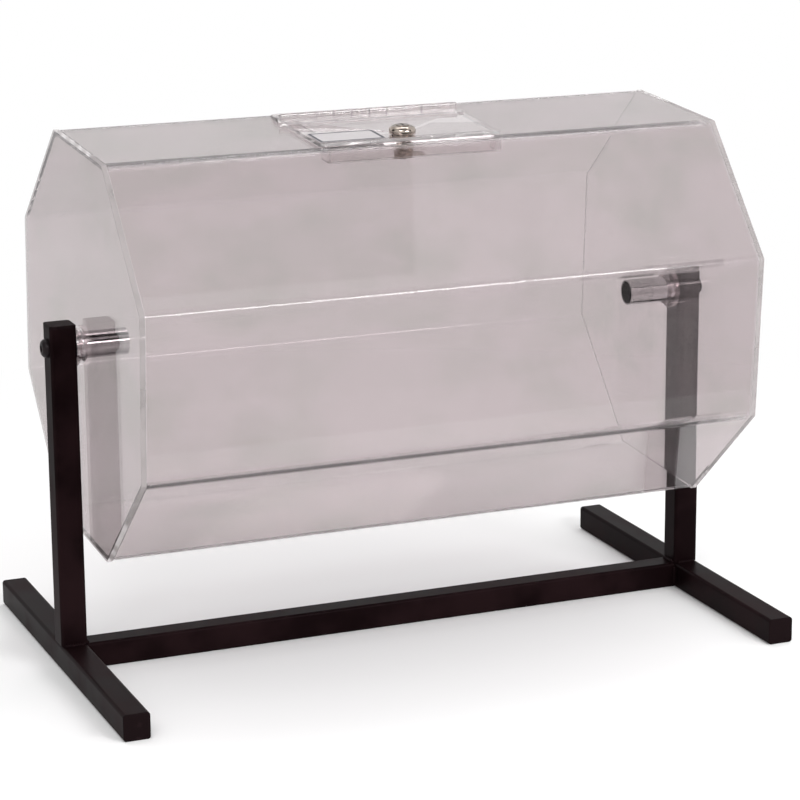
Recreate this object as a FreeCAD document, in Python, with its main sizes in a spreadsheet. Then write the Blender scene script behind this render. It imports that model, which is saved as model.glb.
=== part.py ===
import FreeCAD, Part
import math
import os

import Sketcher

# Raffle drum: a clear octagonal acrylic drum that turns on two stub axles in a
# black square-tube stand, with a hinged loading door and a cam lock.
#
# Frame: millimetres, +Z up, X along the drum's axis, -Y towards the door's
# front edge. The origin is on the floor, below the middle of the drum.
# Pieces of the drum, the door and the lock are drawn about the drum's own axis
# and are placed with the small forward tilt that the drum rests at.

Vector = FreeCAD.Vector
Rotation = FreeCAD.Rotation
Placement = FreeCAD.Placement

# The drum is an octagon, and half of one side's angle takes a flat to a corner
SIDES = 8
HALF_SIDE_ANGLE = 180.0 / SIDES
HALF_HEX_ANGLE = 180.0 / 6

# Driving sizes, in millimetres and degrees
SIZES = {
    # Stand of square tube
    "tube_size": 25.0,
    "tube_wall": 1.5,
    "tube_corner": 3.0,
    "foot_length": 412.0,
    "post_rise": 22.0,
    "cap_thickness": 3.0,
    "cap_bolt_room": 2.0,
    "cap_clearance": 0.1,
    "cap_edge": 1.0,
    # Stub axles and the bolts that hold them to the posts
    "axis_height": 308.0,
    "axle_diameter": 25.0,
    "axle_wall": 1.5,
    "axle_length": 53.0,
    "insert_length": 18.0,
    "insert_clearance": 0.05,
    "bolt_diameter": 10.0,
    "bolt_grip_in_insert": 15.0,
    "bolt_clearance": 0.25,
    "thread_clearance": 0.05,
    "bolt_head_diameter": 17.5,
    "bolt_head_height": 5.5,
    "bolt_head_dome": 4.5,
    "hex_socket": 6.0,
    "socket_depth": 3.0,
    # Octagonal drum of bent sheet
    "shell_length": 593.0,
    "across_flats": 369.0,
    "shell_wall": 5.0,
    "bend_radius": 14.0,
    "plate_thickness": 5.0,
    "plate_corner": 2.0,
    "side_gap": 6.0,
    "rest_tilt": 3.58,
    "bearing_clearance": 0.05,
    "ring_diameter": 37.0,
    "ring_thickness": 5.0,
    "inner_ring_diameter": 31.0,
    "inner_ring_thickness": 1.5,
    # Loading door: an outer sheet that laps the panel, and a core in the opening
    "door_shift": -6.5,
    "door_width": 178.0,
    "door_front": 69.5,
    "door_thickness": 3.0,
    "door_gap": 0.3,
    "door_corner": 2.0,
    "door_left_lap": 12.0,
    "door_right_lap": 4.0,
    "core_clearance": 1.5,
    "core_corner": 1.0,
    "opening_front": 62.0,
    # Keeper under the panel that the lock's cam turns beneath
    "keeper_front": 70.5,
    "keeper_height": 11.5,
    "keeper_return": 20.0,
    "keeper_wall": 4.0,
    # Piano hinge behind the door
    "hinge_setback": 36.0,
    "hinge_rise": 2.5,
    "knuckles_per_leaf": 5.0,
    "knuckle_diameter": 7.0,
    "knuckle_gap": 0.4,
    "knuckle_relief": 0.6,
    "leaf_thickness": 1.5,
    "leaf_width": 20.0,
    "hinge_pin_diameter": 3.0,
    "pin_clearance": 0.05,
    "rail_width": 20.0,
    # Cam lock
    "lock_shift": -0.5,
    "lock_setback": 21.0,
    "lock_head_diameter": 25.0,
    "lock_head_height": 7.0,
    "lock_head_dome": 4.0,
    "barrel_diameter": 19.0,
    "barrel_flats": 16.0,
    "barrel_clearance": 0.15,
    "nut_across_flats": 22.0,
    "nut_thickness": 3.0,
    "plug_diameter": 12.0,
    "plug_clearance": 0.05,
    "plug_rim_lift": 0.6,
    "key_slot_length": 8.0,
    "key_slot_width": 1.6,
    "key_slot_depth": 4.0,
    "cam_thickness": 2.5,
    "cam_clearance": 0.4,
    "cam_heel": 8.5,
    "cam_reach": 20.0,
    "cam_tip_width": 11.0,
    "drive_square": 8.0,
    "drive_clearance": 0.05,
    "cam_screw_head": 11.0,
    "cam_screw_head_height": 2.0,
    "cam_screw_diameter": 4.0,
    "cam_screw_length": 6.0,
}

# Sizes that follow from the driving ones
DERIVED = {
    "post_offset": "=shell_length / 2 + plate_thickness + side_gap + tube_size / 2",
    "post_inner": "=post_offset - tube_size / 2",
    "post_height": "=axis_height + post_rise",
    "cap_insert": "=post_rise - cap_thickness - bolt_diameter / 2 - cap_bolt_room",
    "tube_bore": "=tube_size - 2 * tube_wall",
    "tube_bore_corner": "=tube_corner - tube_wall",
    "insert_size": "=tube_bore - 2 * cap_clearance",
    "plate_outer": "=shell_length / 2 + plate_thickness",
    "panel_top": "=across_flats / 2",
    "panel_under": "=panel_top - shell_wall",
    "bore_diameter": "=axle_diameter + 2 * bearing_clearance",
    "door_under": "=panel_top + door_gap",
    "door_top": "=door_under + door_thickness",
    "opening_width": "=door_width - door_left_lap - door_right_lap",
    "opening_shift": "=door_shift + (door_left_lap - door_right_lap) / 2",
    "opening_left": "=opening_shift - opening_width / 2",
    "opening_right": "=opening_shift + opening_width / 2",
    "opening_back": "=hinge_setback - knuckle_diameter / 2 - knuckle_relief",
    "core_under": "=panel_under + door_gap",
    "core_width": "=opening_width - 2 * core_clearance",
    "core_front": "=opening_front - core_clearance",
    "core_back": "=opening_back - core_clearance",
    "keeper_under": "=panel_under - keeper_height",
    "hinge_height": "=door_top + hinge_rise",
    "hinge_length": "=door_width",
    "knuckle_pitch": "=hinge_length / (2 * knuckles_per_leaf)",
    "pattern_length": "=(2 * knuckles_per_leaf - 2) * knuckle_pitch",
    "hinge_start": "=door_shift - hinge_length / 2",
    "hinge_end": "=door_shift + hinge_length / 2",
    "leaf_start": "=knuckle_diameter / 2 + knuckle_relief",
    "lock_x": "=door_shift + lock_shift",
    "lock_y": "=lock_setback - door_front",
    "cam_top": "=keeper_under - cam_clearance",
    "cam_under": "=cam_top - cam_thickness",
    "lock_face": "=door_top + lock_head_height",
    "nut_under": "=core_under - nut_thickness",
}

DRUM_PLACE = {
    "Placement.Base.z": "Sizes.axis_height",
    "Placement.Rotation.Angle": "Sizes.rest_tilt",
}

doc = FreeCAD.newDocument("RaffleDrum")
sheet = doc.addObject("Spreadsheet::Sheet", "Sizes")
for row, (alias, number) in enumerate(SIZES.items(), start=1):
    sheet.set(f"A{row}", alias)
    sheet.set(f"B{row}", str(number))
    sheet.setAlias(f"B{row}", alias)
for row, (alias, formula) in enumerate(DERIVED.items(), start=len(SIZES) + 2):
    sheet.set(f"A{row}", alias)
    sheet.set(f"B{row}", formula)
    sheet.setAlias(f"B{row}", alias)
doc.recompute()

bodies = []


def size(name):
    """Return a size from the sheet as a number."""
    return float(getattr(sheet, name))


def amount(formula):
    """Return the value of a formula of the sheet's names, for a first guess."""
    text = formula.replace("Sizes.", "")
    result = sheet.evalExpression(text)
    return float(getattr(result, "Value", result))


def bind(item, links):
    """Bind properties of an object to formulas of the sheet."""
    for prop, formula in links.items():
        item.setExpression(prop, formula)


def new_body(label, place=None, axis=Vector(1, 0, 0), angle=0.0):
    """Start a sub-part with its own label and placement."""
    body = doc.addObject("PartDesign::Body", label)
    body.Label = label
    body.Placement = Placement(Vector(0, 0, 0), Rotation(axis, angle))
    bind(body, place or {})
    bodies.append(body)
    return body


def drum_body(label):
    """Start a sub-part that is drawn about the drum's axis."""
    return new_body(label, DRUM_PLACE, Vector(1, 0, 0), size("rest_tilt"))


def origin_plane(body, role):
    """Return one of a body's own origin planes."""
    return next(f for f in body.Origin.OriginFeatures if f.Role == role)


def new_sketch(body, role, offset="0"):
    """Attach a sketch to an origin plane, raised along its normal."""
    sketch = body.newObject("Sketcher::SketchObject", "Sketch")
    sketch.AttachmentSupport = [(origin_plane(body, role), "")]
    sketch.MapMode = "FlatFace"
    sketch.setExpression("AttachmentOffset.Base.z", offset)
    return sketch


def outline(sketch, corners):
    """Draw a closed polygon whose corners are placed by formulas."""
    points = [Vector(amount(x), amount(y), 0) for x, y in corners]
    count = len(points)
    first = sketch.GeometryCount
    for i in range(count):
        line = Part.LineSegment(points[i], points[(i + 1) % count])
        sketch.addGeometry(line, False)
    for i in range(count):
        after = first + (i + 1) % count
        joint = Sketcher.Constraint("Coincident", first + i, 2, after, 1)
        sketch.addConstraint(joint)
    for i, (x, y) in enumerate(corners):
        for kind, formula, value in (
            ("DistanceX", x, points[i].x),
            ("DistanceY", y, points[i].y),
        ):
            place = Sketcher.Constraint(kind, -1, 1, first + i, 1, value)
            index = sketch.addConstraint(place)
            sketch.setExpression(f"Constraints[{index}]", formula)


def rectangle(sketch, low_x, high_x, low_y, high_y):
    """Draw a rectangle between two pairs of formulas."""
    outline(sketch, [(low_x, low_y), (high_x, low_y), (high_x, high_y), (low_x, high_y)])


def circle(sketch, diameter, x="0", y="0"):
    """Draw a circle whose diameter and centre are formulas."""
    centre = Vector(amount(x), amount(y), 0)
    ring = Part.Circle(centre, Vector(0, 0, 1), amount(diameter) / 2)
    index = sketch.addGeometry(ring, False)
    for constraint, formula in (
        (Sketcher.Constraint("Diameter", index, amount(diameter)), diameter),
        (Sketcher.Constraint("DistanceX", -1, 1, index, 3, centre.x), x),
        (Sketcher.Constraint("DistanceY", -1, 1, index, 3, centre.y), y),
    ):
        number = sketch.addConstraint(constraint)
        sketch.setExpression(f"Constraints[{number}]", formula)


def pad(body, sketch, length, midplane=False, reverse=False):
    """Extrude a sketch by a formula's length."""
    feature = body.newObject("PartDesign::Pad", "Pad")
    feature.Profile = sketch
    feature.setExpression("Length", length)
    feature.Midplane = midplane
    feature.Reversed = reverse
    doc.recompute()
    return feature


def pocket(body, sketch, length, midplane=False, reverse=False):
    """Cut a sketch by a formula's length, and check that it cuts."""
    before = body.Shape.Volume
    feature = body.newObject("PartDesign::Pocket", "Pocket")
    feature.Profile = sketch
    feature.setExpression("Length", length)
    feature.Midplane = midplane
    feature.Reversed = reverse
    doc.recompute()
    if not body.Shape.Volume < before:
        raise RuntimeError(f"{body.Label}: a pocket cuts nothing")
    return feature


def edges_where(feature, test):
    """Name the edges of a feature's shape that pass a test."""
    edges = feature.Shape.Edges
    return [f"Edge{i}" for i, edge in enumerate(edges, start=1) if test(edge)]


def along(edge, axis):
    """Tell whether a straight edge runs along an axis."""
    if not isinstance(edge.Curve, Part.Line):
        return False
    return abs(edge.tangentAt(edge.FirstParameter).dot(axis)) > 0.999


def corner_edges(feature, reach):
    """Name the edges along local Z at the four corners of a centred square."""

    def on_corner(edge):
        point = edge.CenterOfMass
        at_corner = abs(abs(point.x) - reach) < 0.01 and abs(abs(point.y) - reach) < 0.01
        return along(edge, Vector(0, 0, 1)) and at_corner

    return edges_where(feature, on_corner)


def round_edges(body, feature, names, radius):
    """Fillet the named edges of a feature by a formula's radius."""
    fillet = body.newObject("PartDesign::Fillet", "Fillet")
    fillet.Base = (feature, names)
    fillet.Radius = max(amount(radius), 0.01)
    fillet.setExpression("Radius", radius)
    doc.recompute()
    return fillet


def square_tube(label, length, place, axis=Vector(1, 0, 0), angle=0.0, midplane=False):
    """Make a square tube with rounded corners along its local Z."""
    body = new_body(label, place, axis, angle)
    side = "Sizes.tube_size / 2"
    bore = "Sizes.tube_bore / 2"
    sketch = new_sketch(body, "XY_Plane")
    rectangle(sketch, f"-{side}", side, f"-{side}", side)
    rectangle(sketch, f"-{bore}", bore, f"-{bore}", bore)
    tube = pad(body, sketch, length, midplane)
    outer = corner_edges(tube, size("tube_size") / 2)
    tube = round_edges(body, tube, outer, "Sizes.tube_corner")
    inner = corner_edges(tube, size("tube_bore") / 2)
    round_edges(body, tube, inner, "Sizes.tube_bore_corner")
    return body


def tube_cap(label, place, axis=Vector(1, 0, 0), angle=0.0):
    """Make a plastic cap whose face is at local Z 0 and whose plug goes up."""
    body = new_body(label, place, axis, angle)
    side = "Sizes.tube_size / 2"
    plug = "Sizes.insert_size / 2"
    face = new_sketch(body, "XY_Plane")
    rectangle(face, f"-{side}", side, f"-{side}", side)
    head = pad(body, face, "Sizes.cap_thickness")
    corners = edges_where(head, lambda e: along(e, Vector(0, 0, 1)))
    head = round_edges(body, head, corners, "Sizes.tube_corner")
    rim = edges_where(head, lambda e: abs(e.BoundBox.ZMax) < 0.001)
    round_edges(body, head, rim, "Sizes.cap_edge")
    stem = new_sketch(body, "XY_Plane", "Sizes.cap_thickness")
    rectangle(stem, f"-{plug}", plug, f"-{plug}", plug)
    stem_pad = pad(body, stem, "Sizes.cap_insert")
    stem_edges = corner_edges(stem_pad, size("insert_size") / 2)
    round_edges(body, stem_pad, stem_edges, "Sizes.tube_bore_corner + Sizes.cap_clearance")
    return body


# Stand: two feet, a crossbar between them and two posts
for side_name, sign in (("left", "-"), ("right", "")):
    square_tube(
        f"foot_{side_name}",
        "Sizes.foot_length - 2 * Sizes.cap_thickness",
        {
            "Placement.Base.x": f"{sign}Sizes.post_offset",
            "Placement.Base.z": "Sizes.tube_size / 2",
        },
        Vector(1, 0, 0),
        -90.0,
        midplane=True,
    )
    post = square_tube(
        f"post_{side_name}",
        "Sizes.post_height - Sizes.tube_size - Sizes.cap_thickness",
        {
            "Placement.Base.x": f"{sign}Sizes.post_offset",
            "Placement.Base.z": "Sizes.tube_size",
        },
    )
    bolt_hole = new_sketch(post, "YZ_Plane")
    circle(
        bolt_hole,
        "Sizes.bolt_diameter + 2 * Sizes.bolt_clearance",
        "0",
        "Sizes.axis_height - Sizes.tube_size",
    )
    pocket(post, bolt_hole, "Sizes.tube_size * 2", midplane=True)
    tube_cap(
        f"post_cap_{side_name}",
        {
            "Placement.Base.x": f"{sign}Sizes.post_offset",
            "Placement.Base.z": "Sizes.post_height",
        },
        Vector(1, 0, 0),
        180.0,
    )
    for end_name, end_sign, turn in (("front", "-", -90.0), ("back", "", 90.0)):
        tube_cap(
            f"foot_cap_{side_name}_{end_name}",
            {
                "Placement.Base.x": f"{sign}Sizes.post_offset",
                "Placement.Base.y": f"{end_sign}Sizes.foot_length / 2",
                "Placement.Base.z": "Sizes.tube_size / 2",
            },
            Vector(1, 0, 0),
            turn,
        )

square_tube(
    "crossbar",
    "2 * Sizes.post_inner",
    {"Placement.Base.z": "Sizes.tube_size / 2"},
    Vector(0, 1, 0),
    90.0,
    midplane=True,
)


def turned(side_name):
    """Return the turn about Z that points local +X away from the drum."""
    return 0.0 if side_name == "right" else 180.0


# Stub axles: a chromed tube, a threaded insert in its end and a domed bolt.
# Each is drawn for the right post and turned about Z for the left one.
for side_name in ("left", "right"):
    level = {"Placement.Base.z": "Sizes.axis_height"}
    turn = turned(side_name)

    axle = new_body(f"axle_tube_{side_name}", level, Vector(0, 0, 1), turn)
    wall = new_sketch(axle, "YZ_Plane", "Sizes.post_inner - Sizes.axle_length")
    circle(wall, "Sizes.axle_diameter")
    circle(wall, "Sizes.axle_diameter - 2 * Sizes.axle_wall")
    pad(axle, wall, "Sizes.axle_length")

    insert = new_body(f"axle_insert_{side_name}", level, Vector(0, 0, 1), turn)
    slug = new_sketch(insert, "YZ_Plane", "Sizes.post_inner - Sizes.insert_length")
    circle(slug, "Sizes.axle_diameter - 2 * Sizes.axle_wall - 2 * Sizes.insert_clearance")
    circle(slug, "Sizes.bolt_diameter + 2 * Sizes.thread_clearance")
    pad(insert, slug, "Sizes.insert_length")

    bolt = new_body(f"axle_bolt_{side_name}", level, Vector(0, 0, 1), turn)
    outer_face = "Sizes.post_inner + Sizes.tube_size"
    shank = new_sketch(bolt, "YZ_Plane", f"{outer_face}")
    circle(shank, "Sizes.bolt_diameter")
    pad(bolt, shank, "Sizes.tube_size + Sizes.bolt_grip_in_insert", reverse=True)
    head = new_sketch(bolt, "YZ_Plane", f"{outer_face}")
    circle(head, "Sizes.bolt_head_diameter")
    head_pad = pad(bolt, head, "Sizes.bolt_head_height")
    head_end = size("post_inner") + size("tube_size") + size("bolt_head_height")
    crown = edges_where(head_pad, lambda e: abs(e.BoundBox.XMin - head_end) < 0.01)
    round_edges(bolt, head_pad, crown, "Sizes.bolt_head_dome")
    socket = bolt.newObject("PartDesign::SubtractivePrism", "Socket")
    socket.AttachmentSupport = [(origin_plane(bolt, "YZ_Plane"), "")]
    socket.MapMode = "FlatFace"
    socket.Polygon = 6
    bind(
        socket,
        {
            "AttachmentOffset.Base.z": (
                f"{outer_face} + Sizes.bolt_head_height - Sizes.socket_depth"
            ),
            "Circumradius": f"Sizes.hex_socket / 2 / cos({HALF_HEX_ANGLE})",
            "Height": "Sizes.socket_depth",
        },
    )
    doc.recompute()


def octagon(body, kind, across, height, low):
    """Add or cut an octagonal prism along X with flats facing up and down."""
    prism = body.newObject(f"PartDesign::{kind}", "Octagon")
    prism.AttachmentSupport = [(origin_plane(body, "YZ_Plane"), "")]
    prism.MapMode = "FlatFace"
    flat_up = Rotation(Vector(0, 0, 1), HALF_SIDE_ANGLE)
    prism.AttachmentOffset = Placement(Vector(0, 0, 0), flat_up)
    prism.Polygon = SIDES
    bind(
        prism,
        {
            "AttachmentOffset.Base.z": low,
            "Circumradius": f"({across}) / 2 / cos({HALF_SIDE_ANGLE})",
            "Height": height,
        },
    )
    doc.recompute()
    return prism


def bend_edges(feature, across):
    """Name the eight long edges of an octagon of a given width."""
    reach = across / 2 / math.cos(math.radians(HALF_SIDE_ANGLE))

    def on_vertex(edge):
        point = edge.CenterOfMass
        radius = (point.y ** 2 + point.z ** 2) ** 0.5
        return along(edge, Vector(1, 0, 0)) and abs(radius - reach) < 0.05

    return edges_where(feature, on_vertex)


# Drum shell: one octagonal sheet tube with heat-bent corners
shell = drum_body("drum_shell")
skin = octagon(
    shell,
    "AdditivePrism",
    "Sizes.across_flats",
    "Sizes.shell_length",
    "-Sizes.shell_length / 2",
)
skin = round_edges(shell, skin, bend_edges(skin, size("across_flats")), "Sizes.bend_radius")
inner_across = size("across_flats") - 2 * size("shell_wall")
hollow = octagon(
    shell,
    "SubtractivePrism",
    "Sizes.across_flats - 2 * Sizes.shell_wall",
    "Sizes.shell_length",
    "-Sizes.shell_length / 2",
)
round_edges(shell, hollow, bend_edges(hollow, inner_across), "Sizes.bend_radius - Sizes.shell_wall")
doorway = new_sketch(shell, "XY_Plane")
rectangle(
    doorway,
    "Sizes.opening_left",
    "Sizes.opening_right",
    "-Sizes.opening_front",
    "Sizes.opening_back",
)
pocket(shell, doorway, "Sizes.panel_top * 2", reverse=True)

# End plates with the axle's bore, and a ring on each of their faces
for side_name in ("left", "right"):
    sign = "-" if side_name == "left" else ""
    inner_face = "Sizes.shell_length / 2"
    low = f"-{inner_face} - Sizes.plate_thickness" if sign else inner_face
    plate = drum_body(f"end_plate_{side_name}")
    disc = octagon(plate, "AdditivePrism", "Sizes.across_flats", "Sizes.plate_thickness", low)
    round_edges(plate, disc, bend_edges(disc, size("across_flats")), "Sizes.plate_corner")
    bore = new_sketch(plate, "YZ_Plane")
    circle(bore, "Sizes.bore_diameter")
    pocket(plate, bore, "Sizes.shell_length * 2", midplane=True)

    outer_low = f"-{inner_face} - Sizes.plate_thickness - Sizes.ring_thickness"
    if side_name == "right":
        outer_low = f"{inner_face} + Sizes.plate_thickness"
    inner_low = f"-{inner_face}" if sign else f"{inner_face} - Sizes.inner_ring_thickness"
    for place_name, ring_size, ring_low in (
        ("outer", "ring", outer_low),
        ("inner", "inner_ring", inner_low),
    ):
        ring = drum_body(f"ring_{place_name}_{side_name}")
        washer = new_sketch(ring, "YZ_Plane", ring_low)
        circle(washer, f"Sizes.{ring_size}_diameter")
        circle(washer, "Sizes.bore_diameter")
        pad(ring, washer, f"Sizes.{ring_size}_thickness")

# Door: an outer sheet that laps the panel and a core that fills the opening
lock_hole = "Sizes.barrel_diameter + 2 * Sizes.barrel_clearance"
door = drum_body("door_sheet")
blank = new_sketch(door, "XY_Plane", "Sizes.door_under")
rectangle(
    blank,
    "Sizes.door_shift - Sizes.door_width / 2",
    "Sizes.door_shift + Sizes.door_width / 2",
    "-Sizes.door_front",
    "Sizes.opening_back",
)
circle(blank, lock_hole, "Sizes.lock_x", "Sizes.lock_y")
sheet_pad = pad(door, blank, "Sizes.door_thickness")
upright = edges_where(sheet_pad, lambda e: along(e, Vector(0, 0, 1)))
front_half = [
    name
    for name in upright
    if sheet_pad.Shape.getElement(name).CenterOfMass.y < -size("core_front")
]
round_edges(door, sheet_pad, front_half, "Sizes.door_corner")

core = drum_body("door_core")
filler = new_sketch(core, "XY_Plane", "Sizes.core_under")
rectangle(
    filler,
    "Sizes.opening_shift - Sizes.core_width / 2",
    "Sizes.opening_shift + Sizes.core_width / 2",
    "-Sizes.core_front",
    "Sizes.core_back",
)
circle(filler, lock_hole, "Sizes.lock_x", "Sizes.lock_y")
core_pad = pad(core, filler, "Sizes.door_under - Sizes.core_under")


def on_core_side(edge):
    """Tell whether an upright edge is at one of the core's two ends."""
    off_middle = abs(edge.CenterOfMass.x - size("opening_shift"))
    return along(edge, Vector(0, 0, 1)) and off_middle > size("core_width") / 2 - 0.1


round_edges(core, core_pad, edges_where(core_pad, on_core_side), "Sizes.core_corner")

# Keeper: a bar with two short returns, under the opening's front edge
keeper = drum_body("door_keeper")
bar = new_sketch(keeper, "XY_Plane", "Sizes.keeper_under")
left_in = "Sizes.opening_left"
right_in = "Sizes.opening_right"
return_end = "Sizes.keeper_return - Sizes.keeper_front"
outline(
    bar,
    [
        (f"{left_in} - Sizes.keeper_wall", "-Sizes.keeper_front"),
        (f"{right_in} + Sizes.keeper_wall", "-Sizes.keeper_front"),
        (f"{right_in} + Sizes.keeper_wall", return_end),
        (right_in, return_end),
        (right_in, "-Sizes.opening_front"),
        (left_in, "-Sizes.opening_front"),
        (left_in, return_end),
        (f"{left_in} - Sizes.keeper_wall", return_end),
    ],
)
pad(keeper, bar, "Sizes.keeper_height")

# Hinge rail: lifts the fixed leaf level with the door's top
rail = drum_body("hinge_rail")
strip = new_sketch(rail, "XY_Plane", "Sizes.panel_top")
rail_front = "Sizes.hinge_setback + Sizes.leaf_start"
rectangle(
    strip,
    "Sizes.hinge_start",
    "Sizes.hinge_end",
    rail_front,
    f"{rail_front} + Sizes.rail_width",
)
pad(rail, strip, "Sizes.door_top - Sizes.panel_top")


def hinge_leaf(label, direction, first_knuckle):
    """Make a leaf with every second knuckle; direction is + back or - front."""
    leaf = drum_body(label)
    start = f"Sizes.hinge_setback {direction} Sizes.leaf_start"
    end = f"Sizes.hinge_setback {direction} Sizes.leaf_width"
    low, high = (start, end) if direction == "+" else (end, start)
    plate = new_sketch(leaf, "XY_Plane", "Sizes.door_top")
    rectangle(plate, "Sizes.hinge_start", "Sizes.hinge_end", low, high)
    pad(leaf, plate, "Sizes.leaf_thickness")
    place = f"Sizes.hinge_start + {first_knuckle} * Sizes.knuckle_pitch"
    begin = f"{place} + Sizes.knuckle_gap / 2"
    length = "Sizes.knuckle_pitch - Sizes.knuckle_gap"
    web = new_sketch(leaf, "YZ_Plane", begin)
    middle = "Sizes.hinge_setback"
    web_low, web_high = (middle, low) if direction == "+" else (high, middle)
    leaf_top = "Sizes.door_top + Sizes.leaf_thickness"
    rectangle(web, web_low, web_high, "Sizes.door_top", leaf_top)
    web_pad = pad(leaf, web, length)
    barrel = new_sketch(leaf, "YZ_Plane", begin)
    circle(barrel, "Sizes.knuckle_diameter", middle, "Sizes.hinge_height")
    barrel_pad = pad(leaf, barrel, length)
    pattern = leaf.newObject("PartDesign::LinearPattern", "Knuckles")
    pattern.Originals = [web_pad, barrel_pad]
    pattern.Direction = (web, ["N_Axis"])
    bind(
        pattern,
        {"Length": "Sizes.pattern_length", "Occurrences": "Sizes.knuckles_per_leaf"},
    )
    leaf.Tip = pattern
    doc.recompute()
    drill = new_sketch(leaf, "YZ_Plane", "Sizes.hinge_start")
    circle(
        drill,
        "Sizes.hinge_pin_diameter + 2 * Sizes.pin_clearance",
        "Sizes.hinge_setback",
        "Sizes.hinge_height",
    )
    pocket(leaf, drill, "Sizes.hinge_length", reverse=True)
    return leaf


# Piano hinge: two leaves with five knuckles each on one pin
hinge_leaf("hinge_leaf_fixed", "+", 0)
hinge_leaf("hinge_leaf_moving", "-", 1)
pin = drum_body("hinge_pin")
rod = new_sketch(pin, "YZ_Plane", "Sizes.door_shift")
circle(rod, "Sizes.hinge_pin_diameter", "Sizes.hinge_setback", "Sizes.hinge_height")
pad(pin, rod, "Sizes.hinge_length", midplane=True)

# Cam lock: a domed head on a threaded barrel with two flats
lock = drum_body("lock_body")
head = new_sketch(lock, "XY_Plane", "Sizes.door_top")
circle(head, "Sizes.lock_head_diameter", "Sizes.lock_x", "Sizes.lock_y")
head_pad = pad(lock, head, "Sizes.lock_head_height")
face_level = size("lock_face")
crown = edges_where(head_pad, lambda e: abs(e.BoundBox.ZMin - face_level) < 0.01)
round_edges(lock, head_pad, crown, "Sizes.lock_head_dome")
barrel = new_sketch(lock, "XY_Plane", "Sizes.door_top")
circle(barrel, "Sizes.barrel_diameter", "Sizes.lock_x", "Sizes.lock_y")
pad(lock, barrel, "Sizes.door_top - Sizes.cam_top - Sizes.cam_clearance", reverse=True)
flats = new_sketch(lock, "XY_Plane", "Sizes.door_top")
for flat_sign in ("-", "+"):
    near = f"Sizes.lock_x {flat_sign} Sizes.barrel_flats / 2"
    far = f"Sizes.lock_x {flat_sign} Sizes.barrel_diameter"
    low_x, high_x = (far, near) if flat_sign == "-" else (near, far)
    rectangle(
        flats,
        low_x,
        high_x,
        "Sizes.lock_y - Sizes.barrel_diameter",
        "Sizes.lock_y + Sizes.barrel_diameter",
    )
pocket(lock, flats, "Sizes.door_top - Sizes.cam_under")
plug_bore = new_sketch(lock, "XY_Plane", "Sizes.lock_face")
circle(
    plug_bore,
    "Sizes.plug_diameter + 2 * Sizes.plug_clearance",
    "Sizes.lock_x",
    "Sizes.lock_y",
)
pocket(lock, plug_bore, "Sizes.lock_face - Sizes.cam_under")

nut = drum_body("lock_nut")
hexagon = nut.newObject("PartDesign::AdditivePrism", "Hexagon")
hexagon.AttachmentSupport = [(origin_plane(nut, "XY_Plane"), "")]
hexagon.MapMode = "FlatFace"
hexagon.Polygon = 6
bind(
    hexagon,
    {
        "AttachmentOffset.Base.x": "Sizes.lock_x",
        "AttachmentOffset.Base.y": "Sizes.lock_y",
        "AttachmentOffset.Base.z": "Sizes.nut_under",
        "Circumradius": f"Sizes.nut_across_flats / 2 / cos({HALF_HEX_ANGLE})",
        "Height": "Sizes.nut_thickness",
    },
)
doc.recompute()
nut_bore = new_sketch(nut, "XY_Plane", "Sizes.core_under")
nut_hole = "Sizes.barrel_diameter + 2 * Sizes.thread_clearance"
circle(nut_bore, nut_hole, "Sizes.lock_x", "Sizes.lock_y")
pocket(nut, nut_bore, "Sizes.nut_thickness * 2")

# Lock plug: turns in the barrel and carries the cam on a square
plug = drum_body("lock_plug")
stem = new_sketch(plug, "XY_Plane", "Sizes.cam_top")
circle(stem, "Sizes.plug_diameter", "Sizes.lock_x", "Sizes.lock_y")
pad(plug, stem, "Sizes.lock_face + Sizes.plug_rim_lift - Sizes.cam_top")
square = new_sketch(plug, "XY_Plane", "Sizes.cam_under")
half_square = "Sizes.drive_square / 2"
rectangle(
    square,
    f"Sizes.lock_x - {half_square}",
    f"Sizes.lock_x + {half_square}",
    f"Sizes.lock_y - {half_square}",
    f"Sizes.lock_y + {half_square}",
)
pad(plug, square, "Sizes.cam_thickness")
key_slot = new_sketch(plug, "XY_Plane", "Sizes.lock_face + Sizes.plug_rim_lift")
rectangle(
    key_slot,
    "Sizes.lock_x - Sizes.key_slot_width / 2",
    "Sizes.lock_x + Sizes.key_slot_width / 2",
    "Sizes.lock_y - Sizes.key_slot_length / 2",
    "Sizes.lock_y + Sizes.key_slot_length / 2",
)
pocket(plug, key_slot, "Sizes.key_slot_depth")
screw_hole = new_sketch(plug, "XY_Plane", "Sizes.cam_under")
circle(
    screw_hole,
    "Sizes.cam_screw_diameter + 2 * Sizes.thread_clearance",
    "Sizes.lock_x",
    "Sizes.lock_y",
)
pocket(plug, screw_hole, "Sizes.cam_screw_length", reverse=True)

# Cam: a rounded heel, an arm that narrows to its tip, and a square hole
cam = drum_body("lock_cam")
heel = new_sketch(cam, "XY_Plane", "Sizes.cam_under")
circle(heel, "2 * Sizes.cam_heel", "Sizes.lock_x", "Sizes.lock_y")
pad(cam, heel, "Sizes.cam_thickness")
arm = new_sketch(cam, "XY_Plane", "Sizes.cam_under")
outline(
    arm,
    [
        ("Sizes.lock_x", "Sizes.lock_y - Sizes.cam_heel"),
        ("Sizes.lock_x + Sizes.cam_heel", "Sizes.lock_y - Sizes.cam_heel"),
        ("Sizes.lock_x + Sizes.cam_reach", "Sizes.lock_y - Sizes.cam_tip_width / 2"),
        ("Sizes.lock_x + Sizes.cam_reach", "Sizes.lock_y + Sizes.cam_tip_width / 2"),
        ("Sizes.lock_x + Sizes.cam_heel", "Sizes.lock_y + Sizes.cam_heel"),
        ("Sizes.lock_x", "Sizes.lock_y + Sizes.cam_heel"),
    ],
)
arm_pad = pad(cam, arm, "Sizes.cam_thickness")
tip_x = size("lock_x") + size("cam_reach")


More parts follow.
